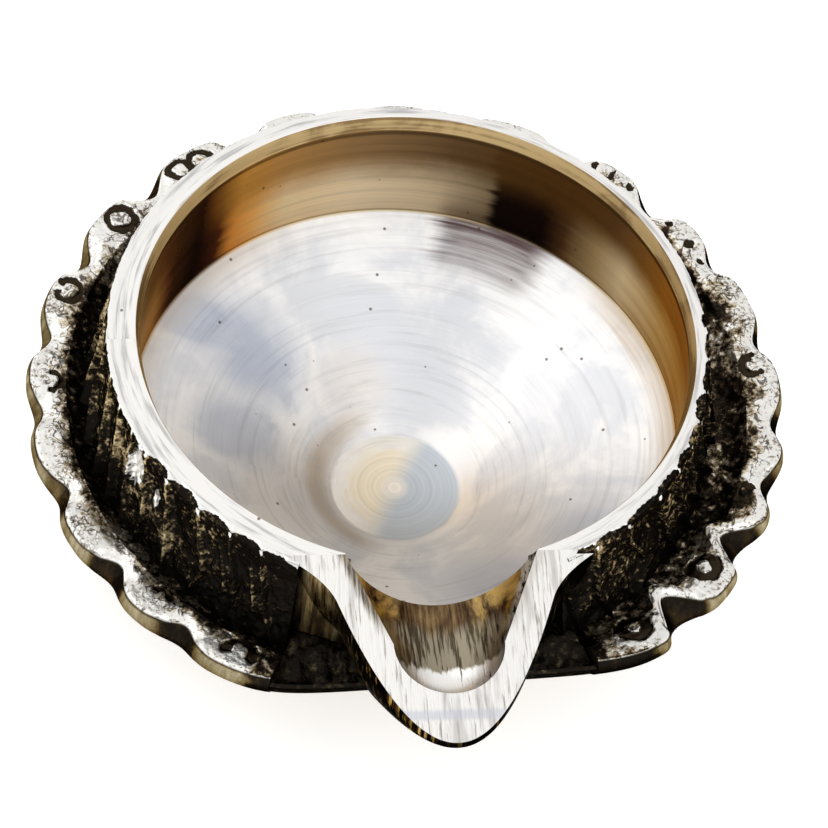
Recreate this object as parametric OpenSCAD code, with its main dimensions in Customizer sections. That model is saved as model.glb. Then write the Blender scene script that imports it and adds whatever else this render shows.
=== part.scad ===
// Cast brass butter lamp: a turned bowl with a wick spout, set in a leaf collar
// with a scalloped flange, standing on a flat turned foot.
// The origin is on the bowl's axis at the plane the foot stands on, the spout points to -Y.

/* [Bowl] */
// Height of the rim above the plane it stands on
rim_h = 31; // [28:0.5:36]
// Radius of the bowl's mouth
mouth_r = 30; // [28:0.5:31]
// Radius of the turned outside of the rim
rim_r = 31.9; // [31.6:0.1:32.4]
// How far the casting sits off the turned bore, on X and on Y
bore_offset = 0.9; // [0:0.1:1]
// Depth from the rim to the foot of the straight inside wall
wall_depth = 16; // [12:0.5:17]
// Depth from the rim to the flat in the middle of the floor
bowl_depth = 28; // [24:0.5:28.2]
// Radius of the turned flat in the middle of the floor
centre_r = 7.2; // [4:0.2:9]
// Thickness of the dished floor
floor_t = 2.4; // [2:0.1:2.6]

/* [Spout] */
// Reach of the spout's tip from the bowl's axis
spout_reach = 50; // [46:0.5:54]
// Half width of the spout where it leaves the bowl
root_half_w = 11.6; // [10:0.1:13]
// Slope of the filed top of the spout, in degrees
top_slope = 8.5; // [4:0.5:12]
// Thickness of the edge round the tip
tip_edge_t = 1.2; // [0.8:0.1:3]
// Half width of the trough where it breaks through the bowl's wall
trough_half_w = 10.2; // [8:0.1:10.5]
// Depth of the trough there
trough_depth = 8.2; // [6:0.1:9]
// Width of the filed face between the trough and the tip
tip_t = 5.4; // [4:0.1:7]

/* [Leaf collar] */
// Height of the flange's top face
flange_h = 20; // [18:0.5:22]
// Radius to the tips of the lobes
lobe_tip_r = 41; // [40.5:0.1:42]
// Depth of the notches between the lobes, as a share of their depth as cast
notch_share = 1; // [0.4:0.05:1]
// Half width of a notch, before what its depth adds
notch_half_w = 3; // [2.5:0.1:3.5]
// Height of the skirt below the flange's top face
skirt_h = 3.8; // [3.4:0.1:5]
// Angle between the spout's axis and each cut end of the flange
gap_half_angle = 26; // [24:1:30]
// Number of leaves round the bowl
leaf_count = 42; // [30:2:50]
// How far a leaf swells out of the wall at its foot
leaf_bulge = 1; // [0.5:0.1:1]
// Distance from the axis to the filed front of the flange, under the spout
front_flat = 36; // [35.5:0.1:37]

/* [Foot] */
// Radius of the flat face that the lamp stands on
foot_r = 20; // [17:0.5:22]

/* [Hidden] */
$fn = 96;

brass = "goldenrod";
polished = "khaki";
patina = "darkolivegreen";

// Inside of the bowl
lip_drop = 1.6;
lip_r = mouth_r - 0.5;
floor_edge_r = mouth_r - 0.2;
wall_z = rim_h - wall_depth;
centre_z = rim_h - bowl_depth;
floor_slope = (wall_z - centre_z) / (floor_edge_r - centre_r);

// Underside of the bowl, a cone parallel to the floor
under_z = centre_z - floor_t;
under_r = centre_r + 1;
function under_cone_z(r) = under_z + (r - under_r) * floor_slope;

// Casting around the bore: same axis as the leaf collar's inner wall
cast_x = -bore_offset;
cast_y = -bore_offset;
shell_foot_z = under_cone_z(rim_r);

// Trough: a cone that narrows towards the tip and ends inside a ball
trough_start_y = -28;
ball_r = 5.8;
ball_overlap = 0.3;
ball_y = -(spout_reach - tip_t - ball_r);
trough_r = (pow(trough_half_w, 2) + pow(trough_depth, 2)) / (2 * trough_depth);
trough_axis_z = rim_h - trough_depth + trough_r;
ball_z = rim_h - tan(top_slope) * (trough_start_y - ball_y) + 0.4;

// Spout body: a bow that narrows as a parabola, on a shorter and narrower keel
ledge_top_z = 18.5;
bow_root = 33;
bow_steps = 14;
keel_reach = 37;
keel_half_w = root_half_w - 0.8;
fillet_r = 5;
fillet_y = -35;
cut_start_y = -28.5;

// Leaf band and flange: profile radii and heights, from the rim outwards
leaf_top_z = rim_h - 0.7;
leaf_top_r = rim_r + 0.2;
leaf_foot_r = 34;
valley_z = flange_h - 1.3;
flange_in_r = 37;
flange_foot_z = 14.5;
skirt_foot_z = flange_h - skirt_h;
skirt_mid_z = flange_h - 0.5 * skirt_h;
skirt_draft = 0.8;
skirt_swell = 0.4;
groove_r = 35.4;
edge_round = 0.5;
notch_fade = 0.5;
front_skew = 3;
cut_angle = 0.1;
leaf_steps = 6;
leaf_levels = 5;
flange_steps = 200;
ledge_steps = 12;
// Notches as cast: angle from the -Y spout anticlockwise, and depth
notches = [
    [43, 4.6], [59.5, 3.8], [72, 1.8], [84, 1.4], [100, 1.5], [116.5, 1.6],
    [131, 2.7], [148, 2.4], [167.5, 2.4], [185.5, 2.4], [203, 2.5], [222, 2.6],
    [240, 2.4], [256.5, 1.8], [271, 1.5], [286.5, 2.2], [303, 2.5], [318, 2.2]
];

// -- helpers ------------------------------------------------------------

// Skin over a row of profiles, each a list of [radius, height] at its angle from the spout,
// given anticlockwise in the radius-height plane; closed joins the last to the first
module swept_profile(angles, sections, closed = false) {
    side = len(sections[0]);
    last = len(sections) - 1;
    points = [
        for (i = [0 : last], p = sections[i])
            [p[0] * cos(angles[i] - 90), p[0] * sin(angles[i] - 90), p[1]]
    ];
    skin = [
        for (i = [0 : closed ? last : last - 1], j = [0 : side - 1])
            let (
                a = i * side + j,
                b = i * side + (j + 1) % side,
                c = (i + 1) % (last + 1) * side + j,
                d = (i + 1) % (last + 1) * side + (j + 1) % side
            )
            each [[a, d, b], [a, c, d]]
    ];
    caps = closed ? [] : [
        [for (j = [0 : side - 1]) j],
        [for (j = [side - 1 : -1 : 0]) last * side + j]
    ];
    polyhedron(points, [each skin, each caps]);
}

// Space above the filed slope on top of the spout
module above_spout_top() {
    translate([-20, cut_start_y, rim_h])
        rotate([top_slope, 0, 0])
            translate([0, -40, 0])
                cube([40, 40, 20]);
}

// Trough as one cutter, shared by the bowl's wall and the spout
module trough_cutter() {
    length = trough_start_y - ball_y;
    drop = trough_axis_z - ball_z;
    translate([0, trough_start_y, trough_axis_z])
        rotate([90 + atan(drop / length), 0, 0])
            cylinder(h = norm([length, drop]), r1 = trough_r, r2 = ball_r - ball_overlap);
    translate([0, ball_y, ball_z])
        sphere(r = ball_r);
}

// Outside of the casting round the bore
module casting_core(z0, z1) {
    translate([cast_x, cast_y, z0])
        cylinder(h = z1 - z0, r = rim_r);
}

// -- bowl ---------------------------------------------------------------

module bowl_space() {
    rotate_extrude()
        polygon([
            [0, centre_z],
            [centre_r, centre_z],
            [floor_edge_r, wall_z],
            [lip_r, rim_h - lip_drop],
            [mouth_r, rim_h],
            [mouth_r, rim_h + 1],
            [0, rim_h + 1]
        ]);
}

module bowl_outside() {
    translate([cast_x, cast_y, 0])
        rotate_extrude()
            polygon([
                [0, under_z],
                [under_r, under_z],
                [rim_r, shell_foot_z],
                [rim_r, rim_h],
                [0, rim_h]
            ]);
}

module bowl() {
    color(polished)
        difference() {
            bowl_outside();
            bowl_space();
            trough_cutter();
            above_spout_top();
        }
}

// -- spout --------------------------------------------------------------

// Outline of the bow from above: as wide as 2 * half_w at bow_root, with its nose at reach
module bow_outline(half_w, reach) {
    nose = [
        for (i = [-bow_steps : bow_steps])
            [half_w * i / bow_steps, (reach - bow_root) * pow(i / bow_steps, 2) - reach]
    ];
    polygon([each nose, [half_w, 6 - bow_root], [-half_w, 6 - bow_root]]);
}

// Boat shape: a thin edge round the tip that runs back to a tall root on the ledge
module prow() {
    tip_top_z = rim_h - tan(top_slope) * (spout_reach + cut_start_y);
    hull() {
        translate([0, 0, tip_top_z - tip_edge_t])
            linear_extrude(rim_h - tip_top_z + tip_edge_t)
                bow_outline(root_half_w, spout_reach);
        translate([0, 0, ledge_top_z])
            linear_extrude(1)
                bow_outline(keel_half_w, keel_reach);
    }
}

// Concave corner between the spout's side and the round of the bowl
module root_fillets() {
    translate([0, 0, ledge_top_z])
        linear_extrude(rim_h - ledge_top_z)
            difference() {
                translate([-root_half_w - fillet_r, fillet_y])
                    square([2 * (root_half_w + fillet_r), 9]);
                for (side = [-1, 1])
                    translate([side * (root_half_w + fillet_r - 0.6), fillet_y])
                        circle(r = fillet_r);
            }
}

module spout() {
    color(brass)
        difference() {
            union() {
                prow();
                root_fillets();
            }
            casting_core(ledge_top_z - 1, rim_h + 1);
            trough_cutter();
            above_spout_top();
        }
}

// -- leaf band ----------------------------------------------------------

// Wall that leans out from the rim, with round leaves that swell towards their feet.
// across runs 0 to 1 over one leaf, up runs 0 at the valley to 1 at the rim.
function leaf_radius(across, up) =
    let (
        wall = leaf_foot_r + (leaf_top_r - leaf_foot_r) * up,
        swell = leaf_bulge * (1 - pow(up, 3)) * sqrt(max(0, 1 - pow(2 * across - 1, 2)))
    )
    wall + swell;

function leaf_section(across) = [
    [rim_r - 2, leaf_top_z],
    [rim_r - 2, valley_z],
    for (level = [0 : leaf_levels])
        let (up = level / leaf_levels)
        [leaf_radius(across, up), valley_z + (leaf_top_z - valley_z) * up]
];

module leaf_band() {
    count = leaf_count * leaf_steps;
    span = 360 - 2 * gap_half_angle;
    angles = [for (i = [0 : count]) gap_half_angle + i * span / count];
    color(patina)
        difference() {
            translate([cast_x, cast_y, 0])
                swept_profile(angles, [for (i = [0 : count]) leaf_section((i % leaf_steps) / leaf_steps)]);
            casting_core(valley_z - 1, rim_h + 1);
        }
}

// -- flange -------------------------------------------------------------

// Depth of one notch at an angle: round, and wider where it is deeper
function notch_depth(angle, notch) =
    let (
        along = abs(angle - notch[0]) * PI / 180 * lobe_tip_r,
        half_w = notch_half_w + 0.35 * notch[1]
    )
    along < half_w ? notch_share * notch[1] * pow(cos(90 * along / half_w), 1.6) : 0;

// Radius to the filed front, which runs slightly askew to the spout
function front_radius(angle) = front_flat / max(0.5, cos(angle - front_skew));

// Radius of the scalloped edge, with the given share of each notch's depth
function edge_radius(angle, share) =
    min(
        lobe_tip_r - share * max([for (notch = notches) notch_depth(angle, notch)]),
        front_radius(angle)
    );

// Section of the flange: hollow underside, skirt, top face and valley
function flange_section(angle) =
    let (
        top_r = edge_radius(angle, 1),
        mid_r = edge_radius(angle, (1 + notch_fade) / 2),
        foot_r = edge_radius(angle, notch_fade) - skirt_draft,
        in_r = min(flange_in_r, top_r - edge_round - 0.3)
    )
    [
        [rim_r - 2, flange_foot_z],
        [rim_r + 1.5, flange_foot_z],
        [groove_r, skirt_foot_z + 0.8],
        [groove_r + 0.6, skirt_foot_z],
        [foot_r, skirt_foot_z],
        [mid_r + skirt_swell, skirt_mid_z],
        [top_r, flange_h - edge_round],
        [top_r - edge_round, flange_h],
        [in_r, flange_h],
        [in_r - 0.6, valley_z],
        [rim_r - 2, valley_z]
    ];

// Section of the low ledge that carries the spout, behind the filed front
function ledge_section(angle) =
    let (front_r = front_radius(angle))
    [
        [rim_r - 2, flange_foot_z],
        [rim_r - 0.5, flange_foot_z],
        [rim_r + 0.5, flange_foot_z],
        [rim_r + 1.2, skirt_foot_z],
        [front_r - skirt_draft, skirt_foot_z],
        [front_r - 0.2, ledge_top_z - 1],
        [front_r, ledge_top_z - edge_round],
        [front_r - edge_round, ledge_top_z],
        [rim_r + 0.5, ledge_top_z],
        [rim_r - 0.5, ledge_top_z],
        [rim_r - 2, ledge_top_z]
    ];

module flange() {
    span = 360 - 2 * gap_half_angle;
    rim_angles = [for (i = [0 : flange_steps]) gap_half_angle + i * span / flange_steps];
    ledge_angles = [
        for (i = [0 : ledge_steps])
            -gap_half_angle + cut_angle + i * 2 * (gap_half_angle - cut_angle) / ledge_steps
    ];
    color(patina)
        difference() {
            swept_profile(
                [each rim_angles, for (angle = ledge_angles) angle + 360],
                [
                    for (angle = rim_angles) flange_section(angle),
                    for (angle = ledge_angles) ledge_section(angle)
                ],
                closed = true
            );
            casting_core(flange_foot_z - 1, rim_h + 1);
        }
}

// -- foot ---------------------------------------------------------------

module foot() {
    neck_r = foot_r - 0.8;
    color(brass)
        translate([cast_x, cast_y, 0])
            rotate_extrude()
                polygon([
                    [0, 0],
                    [foot_r, 0],
                    [foot_r, 1.5],
                    [neck_r, 2.6],
                    [neck_r, under_cone_z(neck_r)],
                    [under_r, under_z],
                    [0, under_z]
                ]);
}

bowl();
spout();
leaf_band();
flange();
foot();
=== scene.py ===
"""Small cast brass butter lamp, turned inside, with a filed spout, leaf relief and a scalloped flange."""
import math

import bmesh
import bpy
import numpy as np
from mathutils import Matrix, Vector


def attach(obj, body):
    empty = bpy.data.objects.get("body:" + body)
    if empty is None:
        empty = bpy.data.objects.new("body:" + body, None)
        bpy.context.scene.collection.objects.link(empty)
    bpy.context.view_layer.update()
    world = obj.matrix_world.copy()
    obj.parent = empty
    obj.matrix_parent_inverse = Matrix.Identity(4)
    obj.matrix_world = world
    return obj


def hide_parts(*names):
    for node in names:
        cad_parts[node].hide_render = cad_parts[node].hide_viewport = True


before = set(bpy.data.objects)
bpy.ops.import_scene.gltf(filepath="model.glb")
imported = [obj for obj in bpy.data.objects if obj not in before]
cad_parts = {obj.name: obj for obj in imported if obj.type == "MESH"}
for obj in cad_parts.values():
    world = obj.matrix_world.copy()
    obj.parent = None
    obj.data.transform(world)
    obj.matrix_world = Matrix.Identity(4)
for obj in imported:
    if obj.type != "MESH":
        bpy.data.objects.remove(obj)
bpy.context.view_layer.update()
MM = 0.001

# -- sizes in millimetres, the same as in the solids --

RIM_H = 31.0
MOUTH_R = 30.0
RIM_R = 31.9
CAST_OFFSET = (-0.9, -0.9)
WALL_DEPTH = 16.0
BOWL_DEPTH = 28.0
CENTRE_R = 7.2
FLOOR_T = 2.4
LIP_DROP = 1.6

SPOUT_REACH = 50.0
ROOT_HALF_W = 11.6
BOW_ROOT = 33.0
TOP_SLOPE = 8.5
CUT_START_Y = -28.5
TROUGH_HALF_W = 10.2
TROUGH_DEPTH = 8.2
TIP_T = 5.4
TIP_EDGE_T = 1.2
BALL_R = 5.8
TROUGH_START_Y = -28.0

FLANGE_H = 20.0
VALLEY_Z = 18.7
FLANGE_IN_R = 37.0
LOBE_TIP_R = 41.0
NOTCH_HALF_W = 3.0
SKIRT_FOOT_Z = 16.2
SKIRT_DRAFT = 0.8
GROOVE_R = 35.4
FLANGE_FOOT_Z = 14.5
FRONT_FLAT = 36.0
FRONT_SKEW = 3.0
GAP_HALF_ANGLE = 26.0
LEDGE_TOP_Z = 18.5
# Notches between the lobes: angle from the spout, anticlockwise, and depth
NOTCHES = (
    (43, 4.6), (59.5, 3.8), (72, 1.8), (84, 1.4), (100, 1.5), (116.5, 1.6),
    (131, 2.7), (148, 2.4), (167.5, 2.4), (185.5, 2.4), (203, 2.5), (222, 2.6),
    (240, 2.4), (256.5, 1.8), (271, 1.5), (286.5, 2.2), (303, 2.5), (318, 2.2),
)
LEAF_COUNT = 42
FOOT_R = 20.0

# -- sizes that differ from the solids, or that only the scene has --

CENTRE_STEP = 0.12
# The ground tops of the leaves reach this far into the rim, and leave this much of it
RIM_BITE = 0.9
THINNEST_RIM = 0.38
# Share of a notch that is left at the foot of the skirt
NOTCH_FADE = 0.25
SKIRT_SWELL = 0.30
LOBE_HALF_W = 6.0
BITE_HALF_W = 3.5
FRONT_ROUND = 1.2
# Degrees over which the corners of the edge are worn round
EDGE_SOFT = 1.0
# How much lower the worn edge lies, everywhere and at a notch
EDGE_DROP = 0.42
NOTCH_DIP = 0.55
VALLEY_R = 33.3
LEAF_TOP_R = 32.3
LEAF_FOOT_R = 34.7
LEAF_FOOT_Z = VALLEY_Z - 0.3
# Rings punched into the lobes: x, y, radius, half width, share of the ring left open outward
RINGS = (
    (21.2, -30.6, 1.45, 0.50, 0.0), (29.7, -23.2, 1.45, 0.42, 0.0), (35.6, -13.6, 1.10, 0.35, 0.3),
    (-20.6, -32.8, 1.45, 0.40, 0.35), (-28.2, -25.2, 0.80, 0.35, 0.4), (-35.9, 15.3, 1.30, 0.32, 0.1),
    (-29.7, 25.2, 1.50, 0.38, 0.0), (-22.8, 31.9, 1.20, 0.30, 0.0), (-20.2, 33.3, 1.30, 0.30, 0.0),
    (24.8, 31.0, 1.20, 0.30, 0.3), (38.4, 3.6, 1.40, 0.35, 0.4), (-38.7, 3.0, 1.30, 0.30, 0.5),
)
# Deep pits in the lobes: x, y, radius
PITS = (
    (36.1, -12.9, 0.50), (27.5, 28.7, 0.55), (31.5, 23.4, 0.45), (33.3, 20.5, 0.55),
    (37.9, 4.3, 0.50), (39.1, 2.6, 0.45), (34.3, 18.2, 0.40), (-8.5, 38.8, 0.45), (2.0, 39.8, 0.40),
)
# Painted highlights on the leaves, as bright spots: angle, share of the height, size
LEAF_HIGHLIGHTS = ((293.5, 0.68, 1.3), (300.5, 0.60, 0.6))

wall_z = RIM_H - WALL_DEPTH
centre_z = RIM_H - BOWL_DEPTH
floor_edge_r = MOUTH_R - 0.2
floor_slope = (wall_z - centre_z) / (floor_edge_r - CENTRE_R)
under_z = centre_z - FLOOR_T
under_r = CENTRE_R + 1
ball_y = -(SPOUT_REACH - TIP_T - BALL_R)
trough_r = (TROUGH_HALF_W ** 2 + TROUGH_DEPTH ** 2) / (2 * TROUGH_DEPTH)
trough_axis_z = RIM_H - TROUGH_DEPTH + trough_r
ball_z = RIM_H - math.tan(math.radians(TOP_SLOPE)) * (TROUGH_START_Y - ball_y) + 0.4


def under_cone_z(radius):
    return under_z + (radius - under_r) * floor_slope


def filed_surface_z(y):
    """Height of the filed top of the spout at a place along its length."""
    return RIM_H - math.tan(math.radians(TOP_SLOPE)) * np.maximum(0, CUT_START_Y - y)


# -- small helpers --

def smoothstep(low, high, x):
    t = np.clip((x - low) / (high - low), 0.0, 1.0)
    return t * t * (3 - 2 * t)


def shares(count, first=0):
    """Even steps up to 1, from 0 or from the first step."""
    return [k / count for k in range(first, count + 1)]


def lattice(ix, iy, iz, seed):
    """One fixed number between 0 and 1 for each cell of a grid."""
    n = np.sin(ix * 127.1 + iy * 311.7 + iz * 74.7 + seed * 53.3) * 43758.5453
    return n - np.floor(n)


def grain(points, size, seed=0):
    """Smooth noise between 0 and 1 on an array of points in millimetres."""
    p = points / size
    cell = np.floor(p)
    f = p - cell
    f = f * f * (3 - 2 * f)
    total = np.zeros(points.shape[:-1])
    for dx in (0, 1):
        for dy in (0, 1):
            for dz in (0, 1):
                weight = (
                    (f[..., 0] if dx else 1 - f[..., 0])
                    * (f[..., 1] if dy else 1 - f[..., 1])
                    * (f[..., 2] if dz else 1 - f[..., 2])
                )
                total += weight * lattice(cell[..., 0] + dx, cell[..., 1] + dy, cell[..., 2] + dz, seed)
    return total


def octaves(points, size, seed=0, count=3):
    total = np.zeros(points.shape[:-1])
    share = 0.0
    for k in range(count):
        weight = 0.55 ** k
        total += weight * grain(points, size / 2 ** k, seed + k)
        share += weight
    return total / share


def polar(angle, radius, z):
    """Points at an angle counted from the spout, anticlockwise seen from above."""
    a = np.radians(angle - 90.0)
    return np.stack(np.broadcast_arrays(radius * np.cos(a), radius * np.sin(a), z), axis=-1)


def mark_sharp(mesh, degrees):
    mesh.update()
    limit = math.radians(degrees)
    normals = [p.normal.copy() for p in mesh.polygons]
    beside = {}
    for p in mesh.polygons:
        for key in p.edge_keys:
            beside.setdefault(key, []).append(p.index)
    for edge in mesh.edges:
        faces = beside.get(edge.key, [])
        if len(faces) == 2:
            edge.use_edge_sharp = normals[faces[0]].angle(normals[faces[1]], 0.0) > limit
    for p in mesh.polygons:
        p.use_smooth = True


def tidy_normals(obj):
    bm = bmesh.new()
    bm.from_mesh(obj.data)
    bmesh.ops.recalc_face_normals(bm, faces=bm.faces)
    bm.to_mesh(obj.data)
    bm.free()


def place_object(name, data):
    obj = bpy.data.objects.new(name, data)
    bpy.context.scene.collection.objects.link(obj)
    return obj


def add_object(name, vertices, faces, sharp=None):
    mesh = bpy.data.meshes.new(name)
    mesh.from_pydata((np.asarray(vertices) * MM).tolist(), [], faces)
    mesh.validate()
    obj = place_object(name, mesh)
    tidy_normals(obj)
    if sharp is not None:
        mark_sharp(mesh, sharp)
    return obj


def grid_faces(rows, columns, wrap_rows, wrap_columns):
    faces = []
    for i in range(rows if wrap_rows else rows - 1):
        for j in range(columns if wrap_columns else columns - 1):
            a = i * columns + j
            b = i * columns + (j + 1) % columns
            c = (i + 1) % rows * columns + (j + 1) % columns
            d = (i + 1) % rows * columns + j
            faces.append((a, d, c, b))
    return faces


def ring_faces(rows, columns):
    """Faces of a closed band of rows, with a cap at each end."""
    faces = grid_faces(rows, columns, True, False)
    faces.append(tuple(k * columns for k in range(rows)))
    faces.append(tuple(k * columns + columns - 1 for k in range(rows))[::-1])
    return faces


def set_attribute(obj, name, values, domain="POINT"):
    layer = obj.data.attributes.new(name, "FLOAT", domain)
    layer.data.foreach_set("value", np.asarray(values, dtype=np.float32).ravel())


def mark_faces(obj, name, mask):
    """A mask on the faces whose corners all lie in a mask on the vertices."""
    values = [1.0 if all(mask[i] for i in p.vertices) else 0.0 for p in obj.data.polygons]
    set_attribute(obj, name, values, "FACE")


def own(obj, material, node):
    """Give a finished piece its material in a slot and its body, and hide the solid that it stands in for.
    """
    obj.data.materials.clear()
    obj.data.materials.append(material)
    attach(obj, "root")
    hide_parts(node)


# -- materials; places and radii in them are in metres --

class Nodes:
    """A material's node tree, with short calls for the nodes used here."""

    def __init__(self, name):
        self.material = bpy.data.materials.new(name)
        self.material.use_nodes = True
        self.tree = self.material.node_tree
        self.tree.nodes.clear()
        self.shader = self.new("BsdfPrincipled")
        self.link(self.shader.outputs[0], self.new("OutputMaterial").inputs["Surface"])
        self.coordinates = self.new("TexCoord").outputs["Object"]

    def new(self, kind):
        return self.tree.nodes.new("ShaderNode" + kind)

    def link(self, a, b):
        self.tree.links.new(a, b)

    def feed(self, socket, value):
        if isinstance(value, bpy.types.NodeSocket):
            self.link(value, socket)
        else:
            socket.default_value = value

    def settings(self, node, **values):
        """Values of a node's inputs, with _ for the blank in an input's name."""
        for name, value in values.items():
            node.inputs[name.replace("_", " ")].default_value = value

    def math(self, operation, a, b=None):
        node = self.new("Math")
        node.operation = operation
        for socket, value in zip(node.inputs, (a, b)):
            if value is not None:
                self.feed(socket, value)
        return node.outputs[0]

    def add(self, a, b):
        return self.math("ADD", a, b)

    def minus(self, a, b):
        return self.math("SUBTRACT", a, b)

    def times(self, a, b):
        return self.math("MULTIPLY", a, b)

    def length(self, x, y):
        return self.math("SQRT", self.add(self.times(x, x), self.times(y, y)))

    def wobble(self, value, noise, amount):
        """A value pushed about by a noise whose mean is one half."""
        return self.add(value, self.times(self.minus(noise, 0.5), amount))

    def separate(self, vector):
        node = self.new("SeparateXYZ")
        self.link(vector, node.inputs[0])
        return node.outputs

    def combine(self, x, y, z):
        node = self.new("CombineXYZ")
        for socket, value in zip(node.inputs, (x, y, z)):
            self.feed(socket, value)
        return node.outputs[0]

    def stretch(self, scale):
        """The object's coordinates, scaled by axis."""
        node = self.new("Mapping")
        self.link(self.coordinates, node.inputs["Vector"])
        self.settings(node, Scale=scale)
        return node.outputs[0]

    def noise(self, vector, scale, detail=3.0, roughness=0.5, distortion=0.0):
        node = self.new("TexNoise")
        self.link(vector, node.inputs["Vector"])
        self.settings(node, Scale=scale, Detail=detail, Roughness=roughness, Distortion=distortion)
        return node.outputs["Fac"]

    def cells(self, vector, scale):
        node = self.new("TexVoronoi")
        self.link(vector, node.inputs["Vector"])
        self.settings(node, Scale=scale)
        return node.outputs["Distance"]

    def ramp(self, value, stops):
        """stops: [(position, colour), ...] in rising order of position."""
        node = self.new("ValToRGB")
        self.feed(node.inputs[0], value)
        elements = node.color_ramp.elements
        while len(elements) < len(stops):
            elements.new(0.5)
        for element, (position, colour) in zip(elements, stops):
            element.position = position
            element.color = tuple(colour) + (1,)
        return node.outputs["Color"]

    def step(self, value, low, high):
        """0 at low and 1 at high, or the other way about where low is the larger."""
        node = self.new("MapRange")
        node.interpolation_type = "SMOOTHSTEP"
        self.feed(node.inputs["Value"], value)
        self.settings(node, From_Min=min(low, high), From_Max=max(low, high))
        self.settings(node, To_Min=float(low >= high), To_Max=float(low < high))
        return node.outputs["Result"]

    def band(self, value, low, high, soft):
        rising = self.step(value, low - soft, low + soft)
        return self.times(rising, self.step(value, high + soft, high - soft))

    def blob(self, point, centre, radius, noise, rough):
        """1 inside a round patch with a ragged edge, seen from above."""
        x, y = point
        distance = self.length(self.minus(x, centre[0] * MM), self.minus(y, centre[1] * MM))
        return self.step(self.wobble(distance, noise, rough * MM), radius * MM, radius * 0.3 * MM)

    def mix(self, factor, a, b):
        node = self.new("Mix")
        node.data_type = "RGBA"
        self.feed(node.inputs["Factor"], factor)
        for socket, value in ((node.inputs[6], a), (node.inputs[7], b)):
            self.feed(socket, value if isinstance(value, bpy.types.NodeSocket) else tuple(value) + (1,))
        return node.outputs[2]

    def darken(self, colour, factor):
        """A colour times a grey factor."""
        node = self.new("VectorMath")
        node.operation = "SCALE"
        self.link(colour, node.inputs[0])
        self.feed(node.inputs["Scale"], factor)
        return node.outputs[0]

    def attribute(self, name):
        node = self.new("Attribute")
        node.attribute_name = name
        return node.outputs["Fac"]

    def bump(self, height, distance, strength):
        node = self.new("Bump")
        self.link(height, node.inputs["Height"])
        self.settings(node, Distance=distance, Strength=strength)
        return node.outputs[0]

    def finish(self, colour, roughness, normal=None, metallic=1.0):
        self.feed(self.shader.inputs["Base Color"], colour)
        self.feed(self.shader.inputs["Roughness"], roughness)
        self.feed(self.shader.inputs["Metallic"], metallic)
        if metallic:
            self.link(colour, self.shader.inputs["Specular Tint"])
        if normal is not None:
            self.link(normal, self.shader.inputs["Normal"])
        return self.material


WHITE = (0.86, 0.84, 0.81)
PALE_GOLD = (0.62, 0.52, 0.32)
BROWN = (0.10, 0.055, 0.025)
BLACK = (0.012, 0.010, 0.008)


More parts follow.
